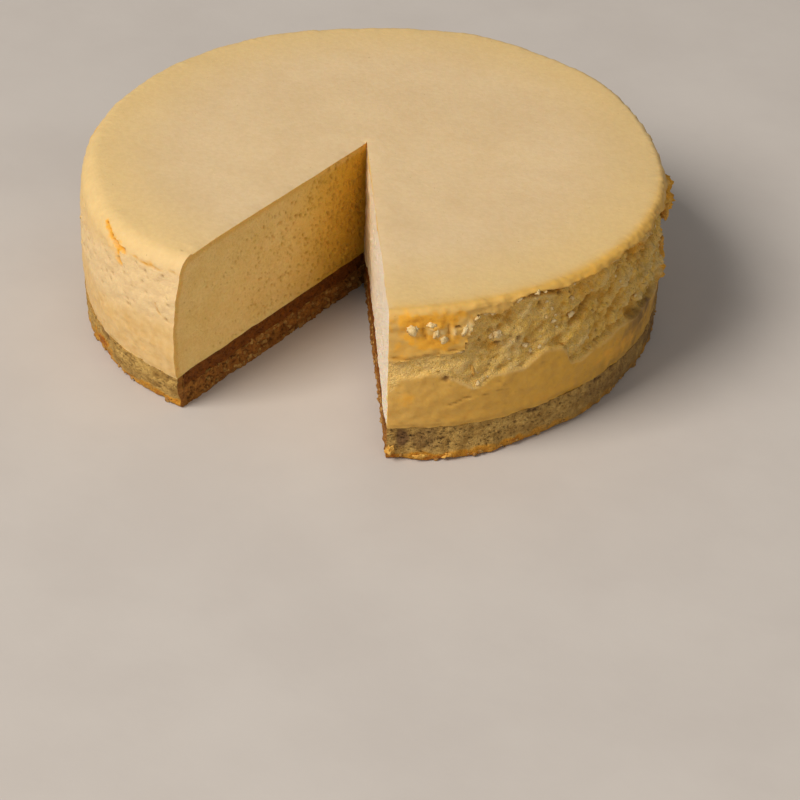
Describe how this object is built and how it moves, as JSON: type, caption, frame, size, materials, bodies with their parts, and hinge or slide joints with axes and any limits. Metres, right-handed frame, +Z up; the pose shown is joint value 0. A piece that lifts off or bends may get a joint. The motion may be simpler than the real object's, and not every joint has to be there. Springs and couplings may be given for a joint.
{
  "type": "baked cheesecake",
  "caption": "Round baked cheesecake with one wedge taken out, showing a pale set filling over a dense brown layer and a porous crumb base.",
  "frame": {"origin": "middle of the underside of the cake's bounding box, on the plane it rests on", "axes": "+Z up, through the layers; -Y towards the middle of the missing wedge; +X to the right when looking into the wedge"},
  "size_m": [0.2024, 0.1986, 0.0595],
  "materials": {
    "crumb": "baked, porous crumb, matte",
    "brown": "dense, slightly moist, dark brown",
    "cheese": "smooth tan skin outside, pale and finely pored where cut"
  },
  "bodies": {
    "root": {"crumb_base": "crumb", "brown_layer": "brown", "cheese_filling": "cheese"}
  },
  "joints": []
}
